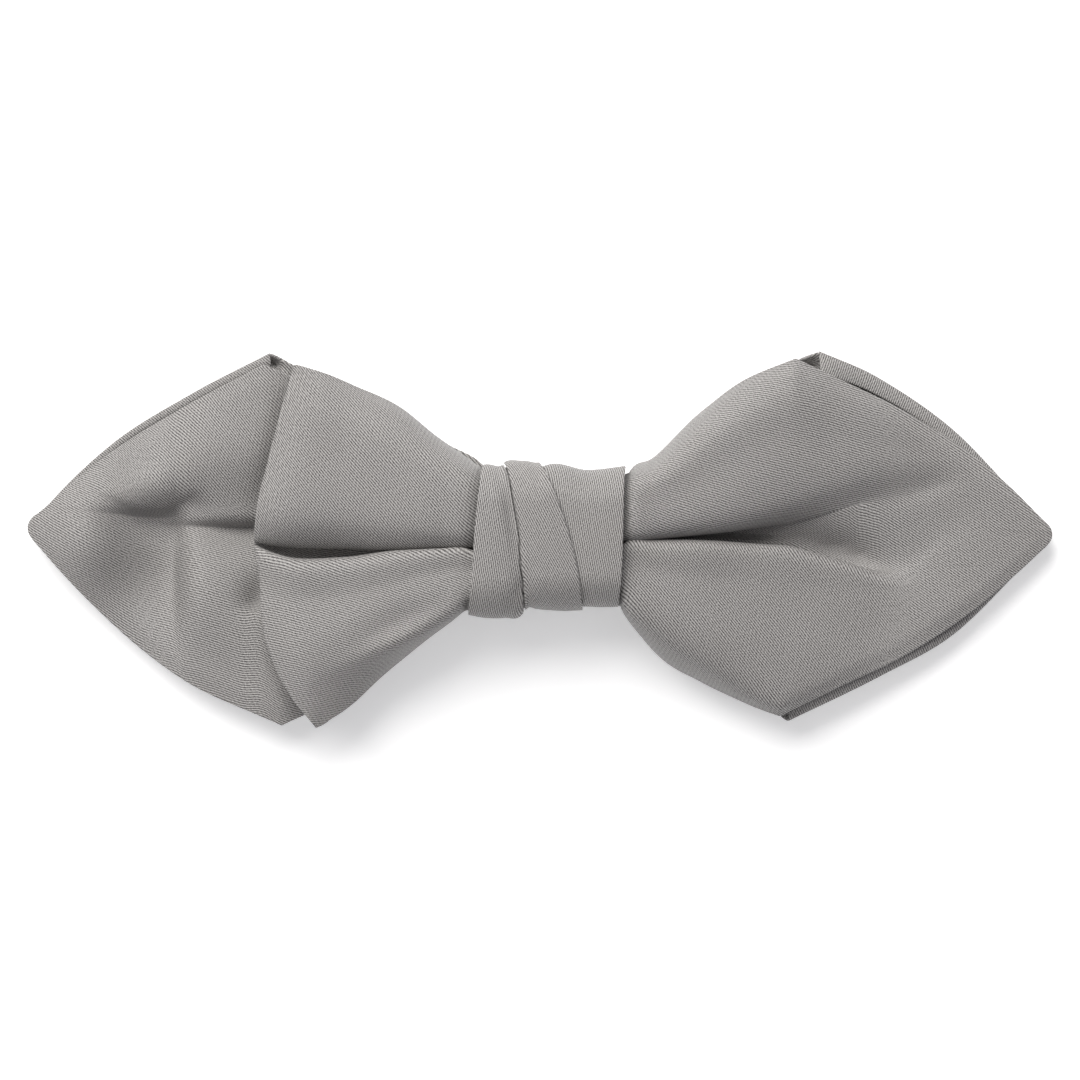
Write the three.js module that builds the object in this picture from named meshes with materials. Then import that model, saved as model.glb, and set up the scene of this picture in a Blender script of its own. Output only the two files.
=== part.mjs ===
// Pre-tied diamond point bow tie, lying on its back with the front of the bow up.
// Millimetres. X runs along the bow, Y runs up it as worn, Z points out of its front.
import * as THREE from "three";

// Driving sizes
const LENGTH = 125; // from point to point
const HEIGHT = 46; // from corner to corner
const PUFF = 10; // how far the folds stand above the layer that they belong to
const CLOTH = 1.2; // wall of one strip, which is cloth folded over a stiff lining
const GAP = 0.3; // clearance between neighbours
const KNOT_WIDTH = 17.7;
const KNOT_HEIGHT = 18.9;
const KNOT_SHIFT = 1.15; // the knot sits this far right of the middle
const LEAN = 1.1; // how far the knot's left edge leans over half its height
const RIGHT_LEAN = 0.4; // the right edge leans by this share of that
const WRAP = 1.1; // wall of the knot's band
const TURN_RISE = 0.4; // the middle turn stands this far above the turns beside it
const KNOT_ROUND = 3.4; // inner radius of the knot at the front
const KNOT_BACK_ROUND = 1.4; // and at the back, where the clip presses it flat
const CLIP_WIDTH = 16;
const CLIP_HEIGHT = 10;
const CLIP_METAL = 0.7;
const CLIP_JAW = 1.1; // the collar's room in the clip

// Sizes that follow from them
const HALF_LENGTH = LENGTH / 2;
const HALF_HEIGHT = HEIGHT / 2;
const KNOT_HALF = KNOT_WIDTH / 2;
const KNOT_WALL = WRAP + TURN_RISE;
const KNOT_ROOM = KNOT_HEIGHT / 2 - KNOT_WALL - GAP; // half the height of what the knot holds
const CLIP_DEPTH = 2 * CLIP_METAL + CLIP_JAW;
const KNOT_LIFT = CLIP_DEPTH + GAP + KNOT_WALL + GAP; // the knot holds the layers this far up

// The layers lie on each other: 0 is the back strip, 1 the left point, 2 the part of the front
// strip that is turned under, 3 the front strip itself.
const layerHeight = (layer) => CLOTH / 2 + layer * (CLOTH + GAP);

// Makes a list of named rows from the names of the columns and the numbers.
const table = (columns, rows) =>
  rows.map((row) => Object.fromEntries(columns.split(" ").map((name, i) => [name, row[i]])));

// Sections of the front strip, from its tail under the knot round the left fold to the right point.
// held is 1 inside the knot, where x and the heights across are shares of the knot's own size.
// Elsewhere x is a share of the wing, from 0 at the knot to -1 or 1 at the point, and top, groove,
// bottom, lap, open and ridge are shares of the half height. The Z columns are shares of PUFF.
// lap is how far the groove runs in under the upper fold, open is the width of its floor, ridge is
// how far the lower fold's turn stays from the bottom edge, bow is how closely a section follows
// the line of the left fold.
const FRONT = table(
  "held x lean bow layer top groove bottom lap open ridge topZ crestZ floorZ lowZ bottomZ",
  [
    [1, -0.3, 0, 0, 2, 0.88, 0, -0.88, 0, 0.13, 0.2, 0, 0.04, 0, 0.04, 0],
    [1, -1, 1, 0, 2, 0.88, 0, -0.88, 0, 0.13, 0.2, 0, 0.05, 0, 0.05, 0],
    [0, -0.171, 0, 0, 2, 0.57, -0.01, -0.55, 0, 0.05, 0.11, 0.36, 0.58, 0.34, 0.54, 0.22],
    [0, -0.338, 0, 0.35, 2, 0.77, -0.01, -0.85, 0, 0.07, 0.13, 0.42, 0.59, 0.27, 0.54, 0.2],
    [0, -0.452, 0, 0.93, 2, 0.9, 0, -0.97, 0, 0.04, 0.11, 0.46, 0.61, 0.34, 0.57, 0.3],
    [0, -0.492, 0, 1, 2.5, 0.925, 0, -1, 0, 0.03, 0.09, 0.5, 0.66, 0.37, 0.62, 0.33],
    [0, -0.459, 0, 0.95, 3, 0.925, 0, -1, 0.01, 0.03, 0.11, 0.53, 0.72, 0.4, 0.69, 0.34],
    [0, -0.338, 0, 0.35, 3, 0.854, -0.03, -0.918, 0.02, 0.07, 0.24, 0.52, 0.86, 0.28, 0.8, 0.15],
    [0, -0.171, 0, 0, 3, 0.701, -0.04, -0.642, 0.03, 0.02, 0.12, 0.45, 0.94, 0.33, 0.86, 0.11],
    [0, -0.082, 0, 0, 3, 0.536, -0.05, -0.478, 0.03, 0.01, 0.05, 0.43, 0.97, 0.39, 0.89, 0.17],
    [0, -0.024, 1, 0, 3, 0.414, -0.04, -0.403, 0.02, 0.01, 0.04, 0.47, 0.97, 0.45, 0.89, 0.27],
    [1, -1.04, 1, 0, 3, 0.96, -0.03, -0.96, 0.02, 0.02, 0.2, 0.07, 0.46, 0, 0.45, -0.03],
    [1, -0.06, 0, 0, 3, 0.96, -0.02, -0.96, 0.02, 0.02, 0.2, 0.07, 0.46, 0, 0.45, -0.03],
    [1, 1.04, 0.4, 0, 3, 0.96, -0.02, -0.96, 0.02, 0.02, 0.2, 0.07, 0.46, 0, 0.45, -0.03],
    [0, 0.016, 0.4, 0, 2.9, 0.375, -0.02, -0.387, 0.02, 0.01, 0.05, 0.47, 0.97, 0.45, 0.89, 0.23],
    [0, 0.089, 0, 0, 2.6, 0.43, 0, -0.584, 0.02, 0.02, 0.12, 0.41, 1.02, 0.42, 0.88, 0.11],
    [0, 0.182, 0, 0, 2.3, 0.663, 0.03, -0.759, 0.03, 0.05, 0.14, 0.48, 1.02, 0.4, 0.82, 0.15],
    [0, 0.286, 0, 0, 2, 0.854, 0.07, -0.87, 0.02, 0.11, 0.13, 0.58, 0.97, 0.38, 0.71, 0.26],
    [0, 0.384, 0.9, 0, 1.8, 0.966, 0.11, -0.939, 0.01, 0.17, 0.11, 0.64, 0.86, 0.36, 0.6, 0.39],
    [0, 0.507, 0, 0, 1.6, 0.854, 0.17, -0.78, 0, 0.3, 0.11, 0.54, 0.68, 0.33, 0.47, 0.36],
    [0, 0.647, 0, 0, 1.4, 0.695, 0.24, -0.626, 0, 0.38, 0.11, 0.41, 0.48, 0.27, 0.36, 0.3],
    [0, 0.786, 0, 0, 1.2, 0.499, 0.2, -0.425, 0, 0.21, 0.08, 0.28, 0.32, 0.22, 0.26, 0.24],
    [0, 0.902, 0, 0, 1.1, 0.281, 0.08, -0.212, 0, 0.08, 0.05, 0.2, 0.23, 0.2, 0.2, 0.2],
    [0, 0.972, 0, 0, 1, 0.122, 0.037, -0.064, 0, 0.03, 0.02, 0.16, 0.17, 0.16, 0.16, 0.16],
    [0, 0.993, 0, 0, 1, 0.074, 0.032, -0.016, 0, 0.02, 0.01, 0.14, 0.14, 0.14, 0.14, 0.14],
    [0, 1, 0, 0, 1, 0.055, 0.034, 0.01, 0, 0.01, 0.004, 0.13, 0.13, 0.13, 0.13, 0.13],
  ],
);
const RIGHT_CORNER = 18; // the row where the strip's edges turn towards the point

// The line of the left fold: right is its way in from the leftmost point, as a share of LENGTH,
// at heights that are shares of the half height. It nips in where the groove meets it.
const FOLD_LINE = table("y right", [
  [-1, 0.061],
  [-0.8, 0.033],
  [-0.61, 0.016],
  [-0.42, 0.008],
  [-0.21, 0.006],
  [0, 0],
  [0.16, 0.003],
  [0.42, 0.014],
  [0.69, 0.026],
  [0.92, 0.039],
]);

// Sections of the left point, from its tip to its tail in the knot.
const LEFT_POINT = table(
  "held x lean top middle bottom topZ upperZ middleZ lowerZ bottomZ",
  [
    [0, -1, 0, 0.08, 0.066, 0.053, 0.13, 0.13, 0.13, 0.13, 0.13],
    [0, -0.993, 0, 0.101, 0.064, 0.027, 0.13, 0.13, 0.13, 0.13, 0.13],
    [0, -0.973, 0, 0.149, 0.058, -0.042, 0.14, 0.14, 0.14, 0.14, 0.14],
    [0, -0.849, 0, 0.409, 0.053, -0.361, 0.18, 0.22, 0.19, 0.22, 0.18],
    [0, -0.661, 0, 0.695, 0.074, -0.732, 0.29, 0.39, 0.28, 0.38, 0.27],
    [0, -0.454, -1, 0.934, 0.085, -0.987, 0.44, 0.51, 0.27, 0.49, 0.37],
    [0, -0.338, 0, 0.785, 0.032, -0.87, 0.37, 0.49, 0.22, 0.46, 0.21],
    [0, -0.171, 0, 0.552, 0, -0.531, 0.33, 0.45, 0.25, 0.43, 0.21],
    [1, -1, 1, 0.88, 0, -0.88, 0, 0.01, 0, 0.01, 0],
    [1, -0.295, 0, 0.88, 0, -0.88, 0, 0.01, 0, 0.01, 0],
  ],
);
const LEFT_CORNER = 5;

// Sections of the back strip, from its left point to its right one.
const BACK = table("held x lean top middle bottom topZ upperZ middleZ lowerZ bottomZ", [
  [0, -0.993, 0, 0.074, 0.058, 0.042, 0.11, 0.11, 0.11, 0.11, 0.11],
  [0, -0.982, 0, 0.106, 0.058, 0.005, 0.11, 0.11, 0.11, 0.11, 0.11],
  [0, -0.929, 0, 0.249, 0.058, -0.138, 0.12, 0.09, 0.1, 0.09, 0.11],
  [0, -0.817, 0, 0.499, 0.053, -0.382, 0.15, 0.02, 0.11, 0.02, 0.13],
  [0, -0.639, 0, 0.77, 0.042, -0.722, 0.29, -0.03, 0.15, -0.03, 0.25],
  [0, -0.456, -0.2, 0.992, 0.021, -0.934, 0.4, -0.04, 0.16, -0.04, 0.32],
  [0, -0.327, 0, 0.839, 0.011, -0.881, 0.34, -0.04, 0.16, -0.04, 0.2],
  [0, -0.171, 0, 0.669, 0, -0.594, 0.3, 0, 0.22, 0, 0.18],
  [0, -0.064, 0, 0.51, 0, -0.425, 0.4, 0.2, 0.36, 0.2, 0.3],
  [0, -0.024, 1, 0.435, 0, -0.361, 0.46, 0.4, 0.45, 0.4, 0.42],
  [1, -1.04, 1, 0.93, 0, -0.93, 0.01, 0, 0, 0, 0.01],
  [1, -0.06, 0, 0.93, 0, -0.93, 0.01, 0, 0, 0, 0.01],
  [1, 1.04, 0.4, 0.93, 0, -0.93, 0.01, 0, 0, 0, 0.01],
  [0, 0.016, 0.4, 0.361, 0, -0.35, 0.46, 0.41, 0.45, 0.41, 0.42],
  [0, 0.077, 0, 0.403, 0, -0.488, 0.4, 0.18, 0.38, 0.18, 0.28],
  [0, 0.228, 0, 0.722, 0.011, -0.775, 0.34, -0.03, 0.22, -0.03, 0.24],
  [0, 0.421, 1.7, 1.003, 0.021, -0.961, 0.54, -0.04, 0.2, -0.04, 0.44],
  [0, 0.6, 0, 0.854, 0.032, -0.722, 0.39, -0.01, 0.16, -0.01, 0.36],
  [0, 0.779, 0, 0.563, 0.032, -0.483, 0.25, 0.06, 0.13, 0.06, 0.24],
  [0, 0.902, 0, 0.271, 0.032, -0.207, 0.18, 0.12, 0.13, 0.12, 0.18],
  [0, 0.967, 0, 0.117, 0.032, -0.048, 0.12, 0.11, 0.11, 0.11, 0.12],
  [0, 0.991, 0, 0.053, 0.032, 0.005, 0.11, 0.11, 0.11, 0.11, 0.11],
]);
const BACK_CORNERS = [5, 16];

// Edges of the knot's middle turn, as shares of the knot's width, at shares of its half height.
const TURN_EDGES = table("y first second", [
  [-1, 0.362, 0.758],
  [0, 0.302, 0.644],
  [1, 0.107, 0.371],
]);

const mix = THREE.MathUtils.lerp;

// Smooth curve through points: places are rising numbers, values lie at them. A break is the
// number of a point where the curve may turn sharply.
function smooth(places, values, at, breaks = []) {
  const last = places.length - 1;
  let i = places.findIndex((place, k) => k < last && at < places[k + 1]);
  if (i < 0) i = last - 1;
  const slope = (k) => (values[k + 1] - values[k]) / (places[k + 1] - places[k]);
  const tangent = (k, own) => {
    if (k === 0 || k === last || breaks.includes(k)) return slope(own);
    const before = places[k] - places[k - 1];
    const after = places[k + 1] - places[k];
    return (slope(k - 1) * after + slope(k) * before) / (before + after);
  };
  const span = places[i + 1] - places[i];
  const t = (at - places[i]) / span;
  const rise = values[i + 1] - values[i];
  const start = tangent(i, i) * span;
  const end = tangent(i + 1, i) * span;
  return values[i] + t * (start + t * (3 * rise - 2 * start - end + t * (start + end - 2 * rise)));
}

// How far right the left fold's line is at a height.
const foldRight = (y) =>
  LENGTH * smooth(FOLD_LINE.map((p) => p.y), FOLD_LINE.map((p) => p.right),
    THREE.MathUtils.clamp(y / HALF_HEIGHT, -1, 0.92));

// Where a row's section crosses the X axis.
function sectionX(row) {
  if (row.held) return KNOT_SHIFT + row.x * KNOT_HALF;
  const side = Math.sign(row.x);
  const wing = HALF_LENGTH - side * KNOT_SHIFT - KNOT_HALF;
  return KNOT_SHIFT + side * KNOT_HALF + row.x * wing;
}

// Heights above the floor of a row's Z columns.
const rowZ = (row, share, layer) => layerHeight(layer) + row.held * KNOT_LIFT + share * PUFF;

// Draws a section's ends in by what its tilted wall stands out there, so that the wall, and not its
// middle surface, reaches the stated outline.
function drawnIn(points) {
  const reach = (end, next) =>
    ((CLOTH / 2) * Math.abs(next[1] - end[1])) / Math.hypot(next[0] - end[0], next[1] - end[1]);
  const [top, afterTop] = points;
  const [beforeBottom, bottom] = points.slice(-2);
  top[0] -= reach(top, afterTop);
  bottom[0] += reach(bottom, beforeBottom);
  return points;
}

// The points of a front section from its top edge to its bottom edge: rounded top edge, upper fold,
// lip over the groove, groove floor, lower fold and its turn towards the bottom edge.
function frontSection(row) {
  const unit = row.held ? KNOT_ROOM : HALF_HEIGHT;
  const lowerTop = row.groove - row.open;
  const upper = row.top - row.groove;
  const lower = lowerTop - row.bottom;
  const depth = row.crestZ - row.floorZ;
  const points = [
    [row.top, row.topZ],
    [row.top - 0.1 * upper, mix(row.topZ, row.crestZ, 0.62)],
    [row.top - 0.42 * upper, row.crestZ],
    [row.groove + 0.2 * upper, row.crestZ - 0.2 * depth],
    [row.groove, row.crestZ - 0.6 * depth],
    [row.groove + row.lap - 0.12 * row.open, row.floorZ],
    [row.groove - 0.85 * row.open, row.floorZ],
    [lowerTop - 0.04 * lower, mix(row.floorZ, row.lowZ, 0.7)],
    [lowerTop - 0.3 * lower, row.lowZ],
    [row.bottom + row.ridge, mix(row.lowZ, row.bottomZ, 0.2)],
    [row.bottom, row.bottomZ],
  ];
  return drawnIn(points.map(([y, z]) => [y * unit, rowZ(row, z, row.layer)]));
}
const FRONT_ACROSS = [0, 0.07, 0.24, 0.38, 0.46, 0.52, 0.57, 0.63, 0.76, 0.9, 1];

// The points of a plain section: two shallow folds with a groove between.
const plainSection = (layer) => (row) => {
  const unit = row.held ? KNOT_ROOM : HALF_HEIGHT;
  const points = [
    [row.top, row.topZ],
    [mix(row.top, row.middle, 0.5), row.upperZ],
    [row.middle, row.middleZ],
    [mix(row.middle, row.bottom, 0.5), row.lowerZ],
    [row.bottom, row.bottomZ],
  ];
  return drawnIn(points.map(([y, z]) => [y * unit, rowZ(row, z, layer)]));
};
const PLAIN_ACROSS = [0, 0.25, 0.5, 0.75, 1];

// The middle surface of a strip, as a function of the place along it, counted in rows, and across
// it, from 0 at the top edge to 1 at the bottom edge.
function strip(rows, across, section, corners) {
  const sections = rows.map(section);
  const places = [0];
  rows.forEach((row, i) => {
    if (i === 0) return;
    const middle = Math.floor(across.length / 4);
    const rise = sections[i][middle][1] - sections[i - 1][middle][1];
    places.push(places[i - 1] + Math.hypot(sectionX(row) - sectionX(rows[i - 1]), rise));
  });
  const knotEdges = rows.flatMap((row, i) => {
    const besideWing = (rows[i - 1] && !rows[i - 1].held) || (rows[i + 1] && !rows[i + 1].held);
    return row.held && besideWing ? [i] : [];
  });
  const along = (values, at, breaks = []) => smooth(places, values, at, [...breaks, ...knotEdges]);
  return (rowNumber, v) => {
    const i = Math.min(Math.floor(rowNumber), rows.length - 2);
    const at = mix(places[i], places[i + 1], rowNumber - i);
    const ys = across.map((_, k) => along(sections.map((s) => s[k][0]), at, corners));
    const zs = across.map((_, k) => along(sections.map((s) => s[k][1]), at));
    const y = smooth(across, ys, v);
    const z = smooth(across, zs, v);
    const share = (ys[0] + ys[ys.length - 1] - 2 * y) / (ys[0] - ys[ys.length - 1]);
    const lean = along(rows.map((row) => row.lean), at, corners);
    const bow = along(rows.map((row) => row.bow ?? 0), at);
    const x = along(rows.map(sectionX), at, corners) - lean * LEAN * share + bow * foldRight(y);
    return new THREE.Vector3(x, y, z);
  };
}

// Numbers from 0 to the last row, with steps between one row and the next.
function places(count, steps) {
  return Array.from({ length: (count - 1) * steps + 1 }, (_, i) => i / steps);
}

// The same between the points across.
function acrossPlaces(across, steps) {
  return places(across.length, steps).map((n) => {
    const i = Math.min(Math.floor(n), across.length - 2);
    return mix(across[i], across[i + 1], n - i);
  });
}

// A closed body from two grids of points, one above the other, with their edges joined.
function closedShell(upper, lower) {
  const rows = upper.length;
  const columns = upper[0].length;
  const positions = [...upper.flat(), ...lower.flat()].flatMap((p) => p.toArray());
  const top = (i, j) => i * columns + j;
  const under = (i, j) => rows * columns + top(i, j);
  const faces = [];
  const quad = (a, b, c, d) => faces.push(a, b, c, a, c, d);
  for (let i = 0; i < rows - 1; i++)
    for (let j = 0; j < columns - 1; j++) {
      quad(top(i, j), top(i, j + 1), top(i + 1, j + 1), top(i + 1, j));
      quad(under(i, j), under(i + 1, j), under(i + 1, j + 1), under(i, j + 1));
    }
  for (let i = 0; i < rows - 1; i++) {
    quad(top(i + 1, 0), under(i + 1, 0), under(i, 0), top(i, 0));
    const j = columns - 1;
    quad(top(i, j), under(i, j), under(i + 1, j), top(i + 1, j));
  }
  for (let j = 0; j < columns - 1; j++) {
    quad(top(0, j), under(0, j), under(0, j + 1), top(0, j + 1));
    const i = rows - 1;
    quad(top(i, j + 1), under(i, j + 1), under(i, j), top(i, j));
  }
  return new THREE.BufferGeometry()
    .setAttribute("position", new THREE.Float32BufferAttribute(positions, 3))
    .setIndex(faces);
}

// A strip's wall, half of it on either side of its middle surface. A strip that rests on the floor
// is flattened there.
function clothWall(surface, along, across, rests = false) {
  const settle = (p) => (rests ? p.setZ(Math.max(p.z, layerHeight(0))) : p);
  const point = (u, v) => settle(surface(u, v));
  const nudge = 0.02;
  const lastU = along[along.length - 1];
  const shifted = (side) =>
    along.map((u) =>
      across.map((v) => {
        const before = point(Math.max(u - nudge, 0), v);
        const above = point(u, Math.max(v - nudge, 0));
        const alongCloth = point(Math.min(u + nudge, lastU), v).sub(before);
        const acrossCloth = point(u, Math.min(v + nudge, 1)).sub(above);
        const normal = acrossCloth.cross(alongCloth).normalize();
        return point(u, v).addScaledVector(normal, (side * CLOTH) / 2);
      }),
    );
  return closedShell(shifted(1), shifted(-1));
}

const frontSurface = strip(FRONT, FRONT_ACROSS, frontSection, [RIGHT_CORNER]);
const leftSurface = strip(LEFT_POINT, PLAIN_ACROSS, plainSection(1), [LEFT_CORNER]);
const backSurface = strip(BACK, PLAIN_ACROSS, plainSection(0), BACK_CORNERS);

const frontBow = clothWall(frontSurface, places(FRONT.length, 2), acrossPlaces(FRONT_ACROSS, 2));
const leftPoint = clothWall(
  leftSurface,
  places(LEFT_POINT.length, 2),
  acrossPlaces(PLAIN_ACROSS, 3),
);
const backBow = clothWall(backSurface, places(BACK.length, 2), acrossPlaces(PLAIN_ACROSS, 4), true);

// The knot's inner outline, seen along the bow: points with the direction that faces out of it.
function knotRing(stepsPerCorner = 5) {
  const knotRow = FRONT.find((row) => row.held && row.layer === 3);
  const low = CLIP_DEPTH + GAP + KNOT_WALL;
  const high = rowZ(knotRow, knotRow.crestZ, knotRow.layer) + CLOTH / 2 + GAP;
  const half = KNOT_ROOM + GAP;
  const corners = [
    { y: half, z: high, round: KNOT_ROUND, from: 0 },
    { y: -half, z: high, round: KNOT_ROUND, from: 90 },
    { y: -half, z: low, round: KNOT_BACK_ROUND, from: 180 },
    { y: half, z: low, round: KNOT_BACK_ROUND, from: 270 },
  ];
  return corners.flatMap((corner) =>
    Array.from({ length: stepsPerCorner + 1 }, (_, i) => {
      const angle = THREE.MathUtils.degToRad(corner.from + (90 * i) / stepsPerCorner);
      const out = new THREE.Vector3(0, Math.cos(angle), Math.sin(angle));
      const centreY = corner.y - Math.sign(corner.y) * corner.round;
      const centreZ = corner.z + (corner.z > low ? -corner.round : corner.round);
      return { out, point: new THREE.Vector3(0, centreY, centreZ).addScaledVector(out, corner.round) };
    }),
  );
}

// The knot's band: turns side by side, the middle one lapped over the other two.
function knotWrap() {
  const ring = knotRing();
  const step = 0.02; // half a step between two turns, as a share of the knot's width
  const halfHeight = KNOT_HEIGHT / 2;
  const widthAt = ({ point, out }) => {
    const y = THREE.MathUtils.clamp((point.y + out.y * KNOT_WALL) / halfHeight, -1, 1);
    const edge = (name) => smooth(TURN_EDGES.map((p) => p.y), TURN_EDGES.map((p) => p[name]), y);
    const left = KNOT_SHIFT - KNOT_HALF + LEAN * y;
    const right = KNOT_SHIFT + KNOT_HALF + RIGHT_LEAN * LEAN * y;
    const first = edge("first");
    const second = edge("second");
    const middle = mix(first, second, 0.5);
    const shares = [0, first - step, first + step, middle, second - step, second + step, 1];
    return shares.map((share) => mix(left, right, share));
  };
  const walls = [WRAP, WRAP, KNOT_WALL, KNOT_WALL, KNOT_WALL, WRAP, WRAP];
  const grid = (wall) =>
    ring.map((place) =>
      widthAt(place).map((x, k) => place.point.clone().addScaledVector(place.out, wall(k)).setX(x)),
    );
  return closedRing(grid((k) => walls[k]), grid(() => 0));
}

// A closed body from an outer and an inner grid that run round in a ring.
function closedRing(outer, inner) {
  const around = outer.length;
  const columns = outer[0].length;
  const positions = [...outer.flat(), ...inner.flat()].flatMap((p) => p.toArray());
  const out = (i, j) => (i % around) * columns + j;
  const into = (i, j) => around * columns + out(i, j);
  const faces = [];
  const quad = (a, b, c, d) => faces.push(a, b, c, a, c, d);
  for (let i = 0; i < around; i++) {
    for (let j = 0; j < columns - 1; j++) {
      quad(out(i, j), out(i + 1, j), out(i + 1, j + 1), out(i, j + 1));
      quad(into(i, j), into(i, j + 1), into(i + 1, j + 1), into(i + 1, j));
    }
    const j = columns - 1;
    quad(out(i, 0), into(i, 0), into(i + 1, 0), out(i + 1, 0));
    quad(out(i, j), out(i + 1, j), into(i + 1, j), into(i, j));
  }
  return new THREE.BufferGeometry()
    .setAttribute("position", new THREE.Float32BufferAttribute(positions, 3))
    .setIndex(faces);
}

// The hidden clip: a flat strip of metal bent back on itself, whose jaw takes the collar's edge.
function collarClip() {
  const bend = CLIP_DEPTH / 2;
  const reach = CLIP_HEIGHT - bend;
  const outline = new THREE.Shape();
  outline.moveTo(0, 0);
  outline.lineTo(reach, 0);
  outline.absarc(reach, bend, bend, -Math.PI / 2, Math.PI / 2, false);
  outline.lineTo(0, CLIP_DEPTH);
  outline.lineTo(0, CLIP_DEPTH - CLIP_METAL);
  outline.lineTo(reach, CLIP_DEPTH - CLIP_METAL);
  outline.absarc(reach, bend, CLIP_JAW / 2, Math.PI / 2, -Math.PI / 2, true);
  outline.lineTo(0, CLIP_METAL);
  outline.closePath();
  const strip = { depth: CLIP_WIDTH, bevelEnabled: false, curveSegments: 8 };
  return new THREE.ExtrudeGeometry(outline, strip).applyMatrix4(
    new THREE.Matrix4().makeBasis(
      new THREE.Vector3(0, 1, 0),
      new THREE.Vector3(0, 0, 1),
      new THREE.Vector3(1, 0, 0),
    ),
  );
}

const twill = new THREE.MeshStandardMaterial({ color: 0xa3a09d, roughness: 0.62 });
const steel = new THREE.MeshStandardMaterial({ color: 0xb8b8ba, roughness: 0.35, metalness: 1 });

function piece(name, geometry, material) {
  const mesh = new THREE.Mesh(geometry, material);
  mesh.name = name;
  return mesh;
}

const bowTie = new THREE.Group();
const clip = piece("collar_clip", collarClip(), steel);
clip.position.set(KNOT_SHIFT - CLIP_WIDTH / 2, -CLIP_HEIGHT / 2, 0);
bowTie.add(
  piece("front_bow", frontBow, twill),
  piece("left_point", leftPoint, twill),
  piece("back_bow", backBow, twill),
  piece("knot_wrap", knotWrap(), twill),
  clip,
);

export default bowTie;
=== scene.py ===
# Pre-tied diamond point bow tie, lying on its back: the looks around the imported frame.
import math

import bpy
import numpy as np
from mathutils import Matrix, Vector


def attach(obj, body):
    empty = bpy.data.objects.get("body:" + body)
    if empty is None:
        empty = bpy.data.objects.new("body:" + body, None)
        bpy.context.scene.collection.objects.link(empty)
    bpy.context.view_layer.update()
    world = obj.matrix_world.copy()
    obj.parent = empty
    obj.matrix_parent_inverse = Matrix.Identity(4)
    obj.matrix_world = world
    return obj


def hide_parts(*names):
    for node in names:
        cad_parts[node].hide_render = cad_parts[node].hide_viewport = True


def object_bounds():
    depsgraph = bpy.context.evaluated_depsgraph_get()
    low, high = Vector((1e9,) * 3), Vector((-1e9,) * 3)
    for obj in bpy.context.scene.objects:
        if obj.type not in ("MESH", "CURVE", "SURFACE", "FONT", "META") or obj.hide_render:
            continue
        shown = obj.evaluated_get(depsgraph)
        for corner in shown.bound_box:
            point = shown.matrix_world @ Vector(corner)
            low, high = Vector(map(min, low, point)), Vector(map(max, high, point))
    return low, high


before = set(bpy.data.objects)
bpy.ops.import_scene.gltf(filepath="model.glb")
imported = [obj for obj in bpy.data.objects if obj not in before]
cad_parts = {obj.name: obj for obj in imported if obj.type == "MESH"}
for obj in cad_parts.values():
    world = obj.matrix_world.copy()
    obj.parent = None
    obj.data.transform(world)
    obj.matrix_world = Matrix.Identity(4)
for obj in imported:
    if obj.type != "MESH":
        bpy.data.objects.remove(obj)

CAD_BOX = [list(corner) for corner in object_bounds()]

# Sizes in millimetres, the same as the part's own. The length is read from the frame.
MM = 0.001
LENGTH = (CAD_BOX[1][0] - CAD_BOX[0][0]) / MM
HEIGHT = 46.0
PUFF = 10.0  # unit of the sections' heights
CLOTH = 1.2  # a strip's thickness in the solids
GAP = 0.3  # between layers
KNOT_WIDTH = 17.7
KNOT_HEIGHT = 18.9
KNOT_SHIFT = 1.15  # of the knot's middle, to the right
LEAN = 1.1  # unit of the sections' slant
WRAP = 1.1  # thickness of the knot's ring
TURN_RISE = 0.4  # of its middle turn
KNOT_ROUND = 3.4
KNOT_BACK_ROUND = 1.4
CLIP_DEPTH = 2.5

HALF_LENGTH = LENGTH / 2
HALF_HEIGHT = HEIGHT / 2
KNOT_HALF = KNOT_WIDTH / 2
KNOT_WALL = WRAP + TURN_RISE
KNOT_ROOM = KNOT_HEIGHT / 2 - KNOT_WALL - GAP
KNOT_LIFT = CLIP_DEPTH + GAP + KNOT_WALL + GAP

# The cloth as it is drawn
GRID_STEP = 0.42  # between two points of a cloth mesh
BODY = 0.9  # thickness of the folded cloth
PRESSED = 0.45  # share of it that is left at the pressed edges
PRESSED_WIDTH = 2.4
EDGE_ROUND = 0.3
EDGE_ZONE = 1.2  # with closer points, along a strip
TINY = 1e-9


def layer_height(layer):
    return CLOTH / 2 + layer * (CLOTH + GAP)


def table(columns, rows):
    """Named columns of a list of rows."""
    values = np.array(rows, float)
    return {name: values[:, i] for i, name in enumerate(columns.split())}


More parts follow.
